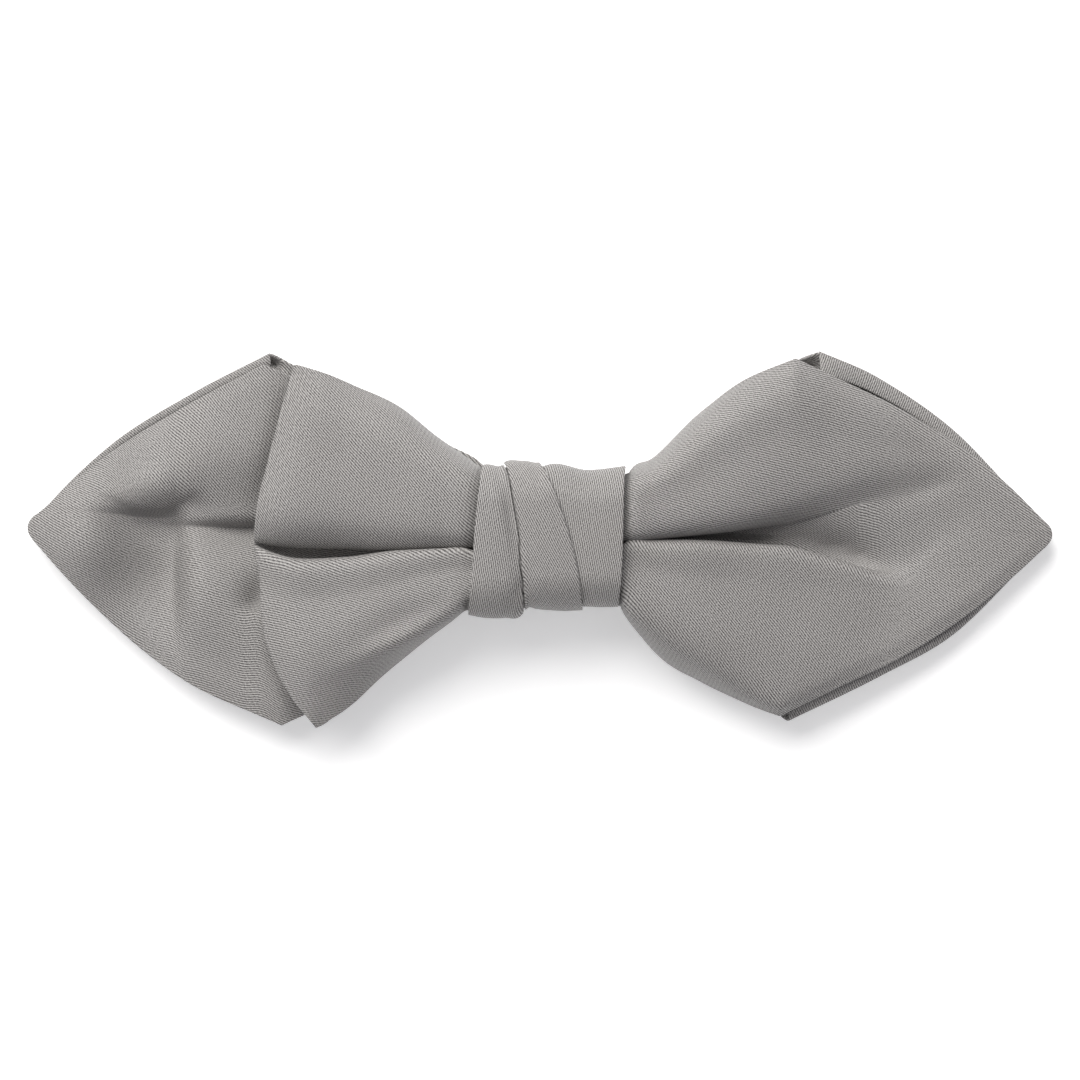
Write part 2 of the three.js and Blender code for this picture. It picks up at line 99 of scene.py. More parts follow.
# Sections of the front strip, from its tail under the knot round the left fold to the right point.
# held is 1 where the knot holds the strip. x is a share of the wing's length, or of the knot's half
# width where held. lean is the section's slant, in units of LEAN, bow how far it follows the fold's
# line, and layer how many layers lie under it. Then come places across as shares of the half height:
# top edge, groove, bottom edge, how far the upper fold laps over the groove, how wide the groove is
# open and how far the lower fold's turn is from the bottom edge. The heights, in units of PUFF, are
# those of the top edge, the crest, the groove's floor, the lower fold and the bottom edge. lip is
# where the upper fold turns down, as a share of its width.
FRONT = table(
    "held x lean bow layer top groove bottom lap open ridge topZ crestZ floorZ lowZ bottomZ lip",
    [
        [1, -0.3, 0, 0, 2, 0.88, 0, -0.88, 0, 0.13, 0.2, 0, 0.04, 0, 0.04, 0, 0.13],
        [1, -1, 1, 0, 2, 0.88, 0, -0.88, 0, 0.13, 0.2, 0, 0.05, 0, 0.05, 0, 0.13],
        [0, -0.171, 0, 0, 2, 0.57, 0.02, -0.55, 0, 0.12, 0.11, 0.34, 0.46, 0.2, 0.44, 0.2, 0.13],
        [0, -0.338, 0, 0.35, 2.3, 0.77, 0.03, -0.85, 0, 0.17, 0.13, 0.43, 0.54, 0.08, 0.5, 0.28, 0.13],
        [0, -0.452, 0, 0.93, 2.6, 0.9, 0.02, -0.97, 0, 0.13, 0.11, 0.54, 0.58, 0.1, 0.55, 0.46, 0.13],
        [0, -0.492, 0, 1, 2.82, 0.932, 0, -0.998, 0, 0.05, 0.09, 0.58, 0.65, 0.2, 0.62, 0.52, 0.12],
        [0, -0.459, 0, 0.95, 3, 0.915, -0.01, -0.972, 0.03, 0.085, 0.17, 0.57, 0.72, 0.12, 0.68, 0.5, 0.12],
        [0, -0.3, 0, 0.3, 3, 0.826, -0.03, -0.862, 0.06, 0.09, 0.24, 0.5, 0.86, 0.12, 0.8, 0.36, 0.12],
        [0, -0.171, 0, 0, 3, 0.706, -0.031, -0.648, 0.05, 0.06, 0.12, 0.45, 0.94, 0.34, 0.86, 0.3, 0.11],
        [0, -0.082, 0, 0, 3, 0.536, -0.027, -0.478, 0.06, 0.05, 0.06, 0.43, 0.98, 0.45, 0.9, 0.3, 0.1],
        [0, -0.024, 1, 0, 3, 0.405, -0.026, -0.403, 0.06, 0.048, 0.05, 0.45, 0.98, 0.55, 0.9, 0.35, 0.1],
        [1, -1.04, 1, 0, 3, 1.13, -0.077, -1.13, 0.06, 0.145, 0.2, 0.05, 0.46, 0.1, 0.43, -0.03, 0.1],
        [1, -0.06, 0, 0, 3, 1.02, -0.03, -1.02, 0.02, 0.02, 0.2, 0.07, 0.46, 0, 0.45, -0.03, 0.1],
        [1, 1.04, 0.4, 0, 3, 1.08, 0.027, -1.06, 0.06, 0.15, 0.2, 0.05, 0.46, 0.1, 0.43, -0.03, 0.06],
        [0, 0.016, 0.4, 0, 2.9, 0.39, 0.011, -0.387, 0.06, 0.049, 0.05, 0.45, 0.98, 0.55, 0.9, 0.3, 0.05],
        [0, 0.07, 0, 0, 2.6, 0.435, 0.02, -0.584, 0.06, 0.053, 0.12, 0.42, 1.03, 0.3, 0.88, 0.24, 0.05],
        [0, 0.182, 0, 0, 2.3, 0.68, 0.047, -0.759, 0.06, 0.078, 0.14, 0.48, 1.03, 0.2, 0.82, 0.26, 0.055],
        [0, 0.286, 0, 0, 2, 0.854, 0.07, -0.87, 0.03, 0.11, 0.13, 0.58, 0.98, 0.17, 0.71, 0.34, 0.07],
        [0, 0.384, 0.9, 0, 1.8, 0.966, 0.115, -0.939, -0.01, 0.175, 0.11, 0.64, 0.87, 0.18, 0.6, 0.43, 0.11],
        [0, 0.507, 0, 0, 1.6, 0.854, 0.18, -0.78, 0, 0.31, 0.11, 0.54, 0.67, 0.2, 0.45, 0.38, 0.17],
        [0, 0.647, 0, 0, 1.4, 0.695, 0.25, -0.626, 0, 0.38, 0.1, 0.41, 0.46, 0.235, 0.305, 0.29, 0.25],
        [0, 0.786, 0, 0, 1.2, 0.499, 0.27, -0.425, 0, 0.3, 0.08, 0.27, 0.295, 0.255, 0.262, 0.24, 0.35],
        [0, 0.902, 0, 0, 1.1, 0.281, 0.13, -0.212, 0, 0.1, 0.05, 0.195, 0.21, 0.21, 0.205, 0.195, 0.35],
        [0, 0.972, 0, 0, 1, 0.122, 0.06, -0.064, 0, 0.04, 0.02, 0.16, 0.163, 0.163, 0.162, 0.16, 0.35],
        [0, 0.993, 0, 0, 1, 0.074, 0.045, -0.016, 0, 0.02, 0.01, 0.14, 0.14, 0.14, 0.14, 0.14, 0.35],
        [0, 0.9975, 0, 0, 1, 0.058, 0.037, 0, 0, 0.01, 0.008, 0.13, 0.13, 0.13, 0.13, 0.13, 0.3],
        [0, 1, 0, 0, 1, 0.038, 0.03, 0.02, 0, 0.004, 0.002, 0.13, 0.13, 0.13, 0.13, 0.13, 0.3],
    ],
)
TURN_ROW = 5  # where the strip is folded at the left
KNOT_LEFT_ROW = 11
KNOT_ROW = 12  # in the middle of the knot
RIGHT_CORNER = 18  # where its edges turn towards the point
# Shares across the strip at which the points of a section lie, from the top edge down
FRONT_ACROSS = [0, 0.07, 0.24, 0.38, 0.45, 0.51, 0.57, 0.63, 0.76, 0.9, 1]

# The line of the left fold: how far it is in from its leftmost point, as a share of the length, at
# shares of the half height
FOLD_LINE = table(
    "y right",
    [
        [-1, 0.061],
        [-0.8, 0.033],
        [-0.61, 0.016],
        [-0.42, 0.008],
        [-0.21, 0.006],
        [0, 0],
        [0.16, 0.003],
        [0.42, 0.014],
        [0.69, 0.026],
        [0.92, 0.039],
    ],
)

# Plain strips have an upper and a lower fold with a shallow groove between
PLAIN_COLUMNS = "held x lean top middle bottom topZ upperZ middleZ lowerZ bottomZ"
LEFT_POINT = table(
    PLAIN_COLUMNS,
    [
        [0, -1, 0, 0.072, 0.064, 0.056, 0.13, 0.13, 0.13, 0.13, 0.13],
        [0, -0.998, 0, 0.09, 0.064, 0.037, 0.13, 0.13, 0.13, 0.13, 0.13],
        [0, -0.993, 0, 0.11, 0.063, 0.016, 0.13, 0.13, 0.13, 0.13, 0.13],
        [0, -0.973, 0, 0.149, 0.058, -0.042, 0.14, 0.14, 0.14, 0.14, 0.14],
        [0, -0.849, 0, 0.409, 0.053, -0.361, 0.18, 0.27, 0.25, 0.24, 0.18],
        [0, -0.661, 0, 0.695, 0.074, -0.732, 0.29, 0.45, 0.34, 0.38, 0.27],
        [0, -0.454, -1, 0.934, 0.085, -0.987, 0.44, 0.51, 0.27, 0.49, 0.37],
        [0, -0.338, 0, 0.785, 0.032, -0.87, 0.37, 0.49, 0.22, 0.46, 0.21],
        [0, -0.171, 0, 0.552, 0, -0.531, 0.33, 0.45, 0.25, 0.43, 0.21],
        [1, -1, 1, 0.88, 0, -0.88, 0, 0.01, 0, 0.01, 0],
        [1, -0.295, 0, 0.88, 0, -0.88, 0, 0.01, 0, 0.01, 0],
    ],
)
LEFT_CORNER = 6  # where its edges turn towards the point

BACK = table(
    PLAIN_COLUMNS,
    [
        [0, -0.993, 0, 0.074, 0.058, 0.042, 0.11, 0.11, 0.11, 0.11, 0.11],
        [0, -0.982, 0, 0.106, 0.058, 0.005, 0.11, 0.11, 0.11, 0.11, 0.11],
        [0, -0.929, 0, 0.249, 0.058, -0.138, 0.12, 0.09, 0.1, 0.09, 0.11],
        [0, -0.817, 0, 0.499, 0.053, -0.382, 0.15, 0.01, 0.03, 0, 0.13],
        [0, -0.639, 0, 0.77, 0.042, -0.722, 0.29, -0.03, 0.02, -0.04, 0.25],
        [0, -0.456, -0.2, 0.992, 0.021, -0.934, 0.4, -0.04, 0.05, -0.04, 0.32],
        [0, -0.327, 0, 0.839, 0.011, -0.881, 0.34, -0.04, 0.16, -0.04, 0.2],
        [0, -0.171, 0, 0.669, 0, -0.594, 0.3, 0, 0.22, 0, 0.18],
        [0, -0.064, 0, 0.51, 0, -0.425, 0.4, 0.2, 0.36, 0.2, 0.3],
        [0, -0.024, 1, 0.435, 0, -0.361, 0.46, 0.4, 0.45, 0.4, 0.42],
        [1, -1.04, 1, 1.2, 0, -0.93, 0.01, 0, 0, 0, 0.01],
        [1, -0.06, 0, 0.93, 0, -0.93, 0.01, 0, 0, 0, 0.01],
        [1, 1.04, 0.4, 1.0, 0, -0.93, 0.01, 0, 0, 0, 0.01],
        [0, 0.016, 0.4, 0.34, 0, -0.35, 0.46, 0.41, 0.45, 0.41, 0.42],
        [0, 0.077, 0, 0.39, 0, -0.488, 0.4, 0.18, 0.38, 0.18, 0.28],
        [0, 0.32, 0, 0.872, 0.015, -0.87, 0.46, -0.04, 0.21, -0.04, 0.34],
        [0, 0.421, 1.7, 1.003, 0.021, -0.961, 0.54, -0.04, 0.2, -0.04, 0.44],
        [0, 0.6, 0, 0.854, 0.032, -0.722, 0.39, -0.01, 0.16, -0.01, 0.36],
        [0, 0.779, 0, 0.563, 0.032, -0.483, 0.25, 0.06, 0.13, 0.06, 0.24],
        [0, 0.902, 0, 0.271, 0.032, -0.207, 0.18, 0.12, 0.13, 0.12, 0.18],
        [0, 0.967, 0, 0.117, 0.032, -0.048, 0.12, 0.11, 0.11, 0.11, 0.12],
        [0, 0.991, 0, 0.053, 0.032, 0.005, 0.11, 0.11, 0.11, 0.11, 0.11],
    ],
)
BACK_CORNERS = [5, 16]  # where its edges turn towards the points
PLAIN_ACROSS = [0, 0.25, 0.5, 0.75, 1]

# Edges of the knot's turns, in millimetres from the middle of the bow, at shares of the knot's
# half height: the left edge, both edges of the middle turn, and the right edge
KNOT_EDGES = table(
    "y left first second right",
    [
        [-1, -8.8, -1.9, 5.25, 9.5],
        [-0.85, -8.7, -1.95, 5.1, 9.6],
        [-0.55, -8.42, -2.1, 4.75, 9.9],
        [-0.25, -8.2, -2.4, 4.25, 10.05],
        [0.15, -7.95, -2.6, 3.35, 10.15],
        [0.4, -7.7, -3.05, 2.5, 10.2],
        [0.72, -7.35, -3.7, 1.2, 10.3],
        [0.9, -7.05, -4.2, 0.3, 10.45],
        [1, -6.7, -4.75, -0.3, 10.5],
    ],
)


def smooth(places, values, at, breaks=()):
    """Smooth curves through points, one curve for each column of values. The curves may turn
    sharply at the points whose numbers are breaks."""
    places, values, at = (np.asarray(a, float) for a in (places, values, at))
    columns = values.reshape(len(places), -1)
    span = np.diff(places)
    slope = np.diff(columns, axis=0) / span[:, None]
    start, end = slope.copy(), slope.copy()
    for k in range(1, len(places) - 1):
        if k not in breaks:
            shared = (slope[k - 1] * span[k] + slope[k] * span[k - 1]) / (span[k - 1] + span[k])
            end[k - 1] = start[k] = shared
    i = np.clip(np.searchsorted(places, at, side="right") - 1, 0, len(span) - 1)
    t = ((at - places[i]) / span[i])[:, None]
    rise = columns[i + 1] - columns[i]
    a, b = start[i] * span[i][:, None], end[i] * span[i][:, None]
    found = columns[i] + t * (a + t * (3 * rise - 2 * a - b + t * (a + b - 2 * rise)))
    return found.reshape(len(at), *values.shape[1:])


def soft_step(low, high, value):
    t = np.clip((value - low) / (high - low), 0, 1)
    return t * t * (3 - 2 * t)


def fold_right(y):
    """How far the left fold's line is in from its leftmost point."""
    share = np.clip(y.ravel() / HALF_HEIGHT, FOLD_LINE["y"][0], FOLD_LINE["y"][-1])
    return LENGTH * smooth(FOLD_LINE["y"], FOLD_LINE["right"], share).reshape(y.shape)


def section_x(rows):
    """Where each row's section crosses the X axis."""
    side = np.sign(rows["x"])
    wing = HALF_LENGTH - side * KNOT_SHIFT - KNOT_HALF
    on_wing = KNOT_SHIFT + side * KNOT_HALF + rows["x"] * wing
    return np.where(rows["held"] > 0, KNOT_SHIFT + rows["x"] * KNOT_HALF, on_wing)


def placed(rows, points, layer):
    """Sections in millimetres from (y, z) shares, as an array of rows, points and y or z."""
    half_width = np.where(rows["held"] > 0, KNOT_ROOM, HALF_HEIGHT)[:, None]
    y = np.stack([p[0] for p in points], axis=1) * half_width
    z = np.stack([p[1] for p in points], axis=1) * PUFF
    base = layer_height(layer) + rows["held"] * KNOT_LIFT
    sections = np.stack([y, z + base[:, None]], axis=2)
    # An edge that stands on its side shows its thickness, so it comes in by half of that
    for end, inner, side in ((0, 1, -1), (-1, -2, 1)):
        step = sections[:, inner] - sections[:, end]
        tilt = np.abs(step[:, 1]) / np.maximum(np.hypot(*step.T), TINY)
        sections[:, end, 0] += side * tilt * BODY * PRESSED / 2
    return sections


# Shares that shape a front section between the places and heights of its row
ROUND_AT = 0.12  # of the upper fold, from its top edge to where the edge's rounding ends
ROUND_RISE = 0.54  # of its height
CREST_AT = 0.42  # of the upper fold, from its top edge to the crest
LIP_FALL = 0.1  # of the groove's depth, from the crest to where the fold turns down
LIP_DROP = 0.45  # from the crest to the lip
UNDER_SHARP, UNDER_SOFT = 0.1, 0.2  # of the opening, under the lip
UNDER_RISE, OPEN_RISE, MOST_OPEN = 0.1, 1.5, 0.25  # height there, more where the groove is open
FOOT_SHARP, FOOT_LEVEL, FOOT_RISE = 0.055, 0.35, 0.1  # the foot of the lower fold
SHOULDER_SHARP, SHOULDER_SOFT, SHOULDER_LEVEL, SHOULDER_OUT = 0.012, 0.12, 0.1, 0.28
SHOULDER_RISE, SHARP_RISE = 0.7, 0.12
LOW_AT, LOW_LEVEL = 0.25, 0.2  # of the lower fold, from its foot to its crest
TURN_FALL = 0.1  # from the lower fold's height to the bottom edge's, at its turn


def front_section(row):
    """Rounded top edge, upper fold, lip over the groove, groove floor, lower fold and its turn. The
    groove is sharp by the knot, gets soft along the wing and runs out where the cloth is level."""
    lower_top = row["groove"] - row["open"]
    upper = row["top"] - row["groove"]
    lower = lower_top - row["bottom"]
    depth = row["crestZ"] - row["floorZ"]
    rise = row["lowZ"] - row["floorZ"]
    sharp = soft_step(0.05, 0.3, rise)
    soft = 1 - sharp
    level = 1 - soft_step(0, 0.1, rise)
    run_out = level**3
    lip_z = row["crestZ"] - LIP_DROP * depth
    under_y = row["groove"] + row["lap"] - (UNDER_SHARP + UNDER_SOFT * soft) * row["open"]
    foot_y = lower_top - FOOT_SHARP * sharp + FOOT_LEVEL * level * row["open"]
    foot_z = row["floorZ"] + FOOT_RISE * soft * rise
    shoulder = SHOULDER_SOFT * soft + SHOULDER_LEVEL * level - SHOULDER_OUT * run_out
    shoulder_y = lower_top + SHOULDER_SHARP * sharp - shoulder * lower
    shoulder_z = row["floorZ"] + (SHOULDER_RISE + SHARP_RISE * sharp) * rise
    turn_z = row["lowZ"] + TURN_FALL * (row["bottomZ"] - row["lowZ"])
    share = np.clip((row["groove"] - under_y) / np.maximum(row["groove"] - foot_y, TINY), 0, 1)
    under_rise = UNDER_RISE + OPEN_RISE * np.clip(row["open"], 0, MOST_OPEN)
    under_z = row["floorZ"] + under_rise * depth
    under_z = sharp * under_z + soft * (lip_z + share * (foot_z - lip_z))
    points = [
        (row["top"], row["topZ"]),
        (row["top"] - ROUND_AT * upper, row["topZ"] + ROUND_RISE * (row["crestZ"] - row["topZ"])),
        (row["top"] - CREST_AT * upper, row["crestZ"]),
        (row["groove"] + row["lip"] * upper, row["crestZ"] - LIP_FALL * depth),
        (row["groove"], lip_z),
        (under_y, under_z),
        (foot_y, foot_z),
        (shoulder_y, shoulder_z),
        (lower_top - (LOW_AT + LOW_LEVEL * level) * lower, row["lowZ"]),
        (row["bottom"] + row["ridge"], turn_z),
        (row["bottom"], row["bottomZ"]),
    ]
    return placed(row, points, row["layer"])


def plain_section(layer):
    """Two shallow folds with a groove between."""

    def section(row):
        points = [
            (row["top"], row["topZ"]),
            ((row["top"] + row["middle"]) / 2, row["upperZ"]),
            (row["middle"], row["middleZ"]),
            ((row["middle"] + row["bottom"]) / 2, row["lowerZ"]),
            (row["bottom"], row["bottomZ"]),
        ]
        return placed(row, points, layer)

    return section


class Strip:
    """The middle surface of a strip of cloth, through its sections."""

    def __init__(self, rows, across, section, corners):
        self.rows, self.across, self.corners = rows, across, corners
        self.sections = section(rows)
        self.x = section_x(rows)
        middle = self.sections[:, len(across) // 4, 1]
        steps = np.hypot(np.diff(self.x), np.diff(middle))
        self.places = np.concatenate([[0], np.cumsum(steps)])
        held = rows["held"] > 0
        last = len(held) - 1
        self.knot_edges = [
            i
            for i in range(len(held))
            if held[i] and not (held[max(i - 1, 0)] and held[min(i + 1, last)])
        ]

    def along(self, values, at, corners=()):
        return smooth(self.places, values, at, [*corners, *self.knot_edges])

    def grid(self, at, v):
        """Points at places along, in millimetres, and shares across. Leaning sections stand askew."""
        ys = self.along(self.sections[:, :, 0], at, self.corners)
        zs = self.along(self.sections[:, :, 1], at)
        y = smooth(self.across, ys.T, v).T
        z = smooth(self.across, zs.T, v).T
        share = (ys[:, :1] + ys[:, -1:] - 2 * y) / (ys[:, :1] - ys[:, -1:])
        lean = self.along(self.rows["lean"], at, self.corners)[:, None]
        x = self.along(self.x, at, self.corners)[:, None] - lean * LEAN * share
        if "bow" in self.rows:
            x = x + self.along(self.rows["bow"], at)[:, None] * fold_right(y)
        return np.stack([x, y, z], axis=2)


CLOSER = (0.02, 0.08, 0.18, 0.32, 0.5, 0.75)  # places in an edge's zone, as shares of it


def spread(start, stop, step, edge=0.0):
    """Even places, with closer ones within a distance of both ends."""
    count = max(4, int(round((stop - start) / step)))
    even = np.linspace(start, stop, count + 1)
    near = edge * np.array(CLOSER)
    return np.unique(np.round(np.concatenate([even, start + near, stop - near]), 6))


def unit(vectors):
    return vectors / np.maximum(np.linalg.norm(vectors, axis=-1, keepdims=True), TINY)


def normals_of(points, ring=False):
    """Directions out of a grid of points."""
    if ring:
        along = np.roll(points, -1, axis=0) - np.roll(points, 1, axis=0)
    else:
        along = np.gradient(points, axis=0)
    across = np.gradient(points, axis=1)
    return unit(np.cross(across, along))


def lengths(points, axis):
    """Arc length from the grid's first points, along an axis."""
    steps = np.linalg.norm(np.diff(points, axis=axis), axis=2)
    start = np.zeros_like(np.take(steps, [0], axis))
    return np.concatenate([start, np.cumsum(steps, axis=axis)], axis)


def edge_distance(points, ring=False):
    """How far each point of a grid is from the cloth's nearest edge."""
    across = lengths(points, 1)
    nearest = np.minimum(across, across[:, -1:] - across)
    if ring:
        return nearest
    along = lengths(points, 0)
    return np.minimum(nearest, np.minimum(along, along[-1:] - along))


def pressed_half(points, thickness, ring=False, crease=None):
    """Half the cloth's thickness at each point: thin where its edges and crease are pressed, and
    rounded off at the edges."""
    from_edge = edge_distance(points, ring)
    from_press = from_edge if crease is None else np.minimum(from_edge, crease)
    body = PRESSED + (1 - PRESSED) * soft_step(0, PRESSED_WIDTH, from_press)
    t = np.clip(from_edge / EDGE_ROUND, 0, 1)
    return thickness / 2 * body * np.sqrt(1 - (1 - t) ** 2)


def cloth_mesh(name, points, normals, half, cloth, ring=False):
    """A closed piece of cloth round a grid of middle points. cloth has the coordinates of the two
    lays of its twill, and how much the second lay shows."""
    rows, columns = points.shape[:2]
    upper = np.arange(rows * columns).reshape(rows, columns)
    border = np.zeros((rows, columns), bool)
    border[:, [0, -1]] = True
    if not ring:
        border[[0, -1], :] = True
    lower = upper.copy()
    lower[~border] = rows * columns + np.arange((~border).sum())

    def both_sides(values):
        size = values[0, 0].size
        return np.concatenate([values.reshape(-1, size), values[~border].reshape(-1, size)])

    top = points + normals * half[..., None]
    bottom = (points - normals * half[..., None])[~border]
    verts = np.concatenate([top.reshape(-1, 3), bottom]) * MM

    def quads(index):
        ahead = np.roll(index, -1, axis=0) if ring else index[1:]
        here = index if ring else index[:-1]
        return np.stack([here[:, :-1], here[:, 1:], ahead[:, 1:], ahead[:, :-1]], axis=2).reshape(-1, 4)

    faces = np.concatenate([quads(upper), quads(lower)[:, ::-1]])
    mesh = bpy.data.meshes.new(name)
    mesh.vertices.add(len(verts))
    mesh.vertices.foreach_set("co", verts.ravel())
    mesh.loops.add(faces.size)
    mesh.loops.foreach_set("vertex_index", faces.ravel().astype(np.int32))
    mesh.polygons.add(len(faces))
    mesh.polygons.foreach_set("loop_start", np.arange(0, faces.size, 4, dtype=np.int32))
    mesh.polygons.foreach_set("use_smooth", np.ones(len(faces), bool))
    mesh.update(calc_edges=True)
    first, second, share = cloth
    for map_name, values in (("lay_one", first), ("lay_two", second)):
        lay = mesh.uv_layers.new(name=map_name)
        lay.data.foreach_set("uv", (both_sides(values) * MM)[faces.ravel()].ravel())
    shown = mesh.attributes.new("second_lay", "FLOAT", "POINT")
    shown.data.foreach_set("value", both_sides(share).ravel())
    piece = bpy.data.objects.new(name, mesh)
    bpy.context.collection.objects.link(piece)
    return piece


# The twill
TWILL_PITCH = 0.275  # from one line to the next
TWILL_ANGLE = math.radians(-41)  # of the lines in a cloth's map


def level_across(points, lip, low):
    """Coordinates across the cloth: Y at the two reference columns, and from there the length along
    the cloth, so that the twill isn't stretched where the cloth is steep."""
    run = lengths(points, 1)
    columns = np.arange(points.shape[1])
    near = np.where(columns <= (lip + low) // 2, lip, low)
    return points[:, near, 1] - (run - run[:, near])


def laid(x, y, slope):
    """Twill coordinates of a lay whose lines fall to the right by a slope in degrees."""
    turn = np.radians(np.asarray(slope, float)) + TWILL_ANGLE
    c, s = np.cos(turn), np.sin(turn)
    return np.stack([x * c - y * s, x * s + y * c], axis=-1)


# Dents and swellings: the middle, in pixels of the photo, how far it reaches to its four sides in
# millimetres, the turn of its sides, in degrees, and how far it stands out in millimetres
PICTURE = 1080  # pixels across the photo
PIXEL = 125 / 1024  # its size on the bow, in millimetres
DENT_COLUMNS = "px py left right below above turn rise"
LEFT_DENTS = table(
    DENT_COLUMNS,
    [
        [252, 526, 7.5, 4.0, 2.6, 0.7, 0, -2.6],
        [162, 486, 5.6, 3.6, 2.2, 4.0, 3, 1.2],
        [144, 516, 6.0, 5.2, 3.0, 1.0, -2, -1.5],
        [196, 505, 1.4, 1.4, 2.2, 2.0, 50, -0.6],
        [120, 503, 2.8, 2.8, 1.5, 0.5, -22, -0.45],
        [150, 510, 2.6, 2.6, 1.5, 0.5, 0, -0.35],
        [178, 504, 2.4, 2.0, 1.5, 0.5, 28, -0.45],
        [174, 570, 6.6, 1.3, 7.0, 7.0, 0, -3.7],
        [203, 588, 2.2, 4.8, 6.0, 5.0, 0, 1.3],
        [258, 602, 2.0, 2.0, 1.2, 3.0, 0, -1.7],
        [84, 534, 4.6, 4.8, 6.5, 4.8, 0, 2.8],
        [150, 462, 1.3, 1.3, 1.2, 1.2, 0, -0.25],
        [286, 432, 8.5, 8.5, 1.5, 1.9, 75, -1.5],
    ],
)
FRONT_DENTS = table(
    DENT_COLUMNS,
    [
        [398, 642, 7.0, 8.0, 0.9, 0.9, 23, 0.5],
        [408, 617, 7.0, 7.0, 1.2, 1.8, 24, -0.55],
        [930, 486, 5.5, 4.0, 1.2, 2.2, 18, -0.35],
        [720, 470, 9.0, 9.0, 2.5, 2.5, 30, -0.25],
        [660, 478, 3.5, 3.5, 1.6, 1.6, 20, 0.3],
        [844, 555, 6.5, 4.5, 0.8, 2.4, -17, -1.9],
    ],
)
BACK_DENTS = table(
    DENT_COLUMNS,
    [
        [809, 364, 1.6, 1.2, 0.8, 0.7, -25, -3.4],
        [272, 363, 1.1, 1.1, 0.7, 0.7, -20, -3.0],
        [785, 716, 0.8, 0.8, 0.5, 0.5, 20, -2.0],
    ],
)


def raised(points, dents):
    """Moves points up by the dents."""
    rise = np.zeros(points.shape[:2])
    for px, py, left, right, below, above, turn, height in zip(*dents.values()):
        x = points[..., 0] - (px - PICTURE / 2) * PIXEL
        y = points[..., 1] - (PICTURE / 2 - py) * PIXEL
        c, s = math.cos(math.radians(turn)), math.sin(math.radians(turn))
        along, across = x * c + y * s, y * c - x * s
        along = along / np.where(along < 0, left, right)
        across = across / np.where(across < 0, below, above)
        rise += height * np.exp(-(along**2) - across**2)
    return points + rise[..., None] * np.array([0.0, 0.0, 1.0])


# Waves of the slight unevenness: radians for each millimetre along and up, phase and height
WAVES = table(
    "u v phase rise",
    [
        [0.21, 0.34, 0.3, 0.06],
        [-0.37, 0.16, 1.9, 0.05],
        [0.52, -0.41, 4.1, 0.03],
        [0.11, 0.83, 2.7, 0.02],
        [-0.74, -0.58, 5.3, 0.014],
    ],
)


def unsettled(points, normals):
    """The slight unevenness of soft cloth."""
    rise = np.zeros(points.shape[:2])
    for u, v, phase, height in zip(*WAVES.values()):
        rise += height * np.sin(u * points[..., 0] + v * points[..., 1] + phase)
    return points + normals * rise[..., None]


FOLD_POINTS = np.linspace(-1.5, 1.5, 25)  # closer ones at a fold
EDGE_SHARE = 0.03  # of a strip's width, with closer points
# The height that a strip lies on, and how far above it the cloth begins to ease off
ON_TABLE = (0, 0.005)
ON_BACK = (1.12, 0.2)


def strip_piece(name, strip, cloth_of, dents=None, fold=None, rests=None):
    """A strip's cloth as an object."""
    at = spread(0, strip.places[-1], GRID_STEP, EDGE_ZONE)
    if fold is not None:
        at = np.unique(np.concatenate([at, fold + FOLD_POINTS]))
    v = spread(0, 1, GRID_STEP / HEIGHT, EDGE_SHARE)
    points = strip.grid(at, v)
    if dents:
        points = raised(points, dents)
    points = unsettled(points, normals_of(points))
    cloth = cloth_of(points, at, v)
    crease = None if fold is None else np.abs(at - fold)[:, None] + np.zeros(len(v))
    half = pressed_half(points, BODY, crease=crease)
    if rests:
        height, ease = rests
        low = height + half
        points[..., 2] = low + ease * np.logaddexp(0, (points[..., 2] - low) / ease)
    return cloth_mesh(name, points, normals_of(points), half, cloth)


front = Strip(FRONT, FRONT_ACROSS, front_section, [RIGHT_CORNER])
left = Strip(LEFT_POINT, PLAIN_ACROSS, plain_section(1), [LEFT_CORNER])
back = Strip(BACK, PLAIN_ACROSS, plain_section(0), BACK_CORNERS)
left_fold = front.places[TURN_ROW]

# Slopes of the twill's lines, in degrees down to the right, above, in and below the groove
LOOP_SLOPES = (50, 34, 18)
LEFT_SLOPES = (51, 30, 18)
RIGHT_SLOPES = (18, 34, 51)
BACK_SLOPES = ((51, 60), 34, (18, 40))  # at the left and at the right
# Shares across the strips: where a groove's lip, floor and lower side are
LOOP_COLUMNS = (0.45, 0.64)
WING_COLUMNS = (0.42, 0.57, 0.64)
# Where one lay gives way to the other: shares across, or millimetres along with a slant
LOOP_CHANGE = (0.5, 0.54)
RIGHT_FLOOR = ((0.44, 0.47), (0.6, 0.66))
RIGHT_FLOOR_X = (24, 32)
RIGHT_POINT_X = (43, 49)
RIGHT_POINT_SLANT = 0.25
LEFT_FLOOR = ((0.42, 0.46), (0.54, 0.58))
LEFT_TIP_X = (-54, -48)
LEFT_TIP_SLANT = 0.3


def column_near(v, share):
    return int(np.abs(v - share).argmin())


def between(rising, falling, v):
    """1 between two changes, and 0 outside them."""
    return soft_step(*rising, v) * (1 - soft_step(*falling, v))


def lays(points, v, slopes, middle):
    """The lays of a wing: the first has the slopes above and below its middle, and the second the
    slope between, where middle shows it."""
    lip, floor, low = (column_near(v[0], share) for share in WING_COLUMNS)
    x = points[..., 0]
    slope = np.where(v < v[0, (lip + low) // 2 + 1], slopes[0], slopes[2])
    first = laid(x, level_across(points, lip, low), slope)
    second = laid(x, level_across(points, floor, floor), slopes[1])
    return first, second, middle


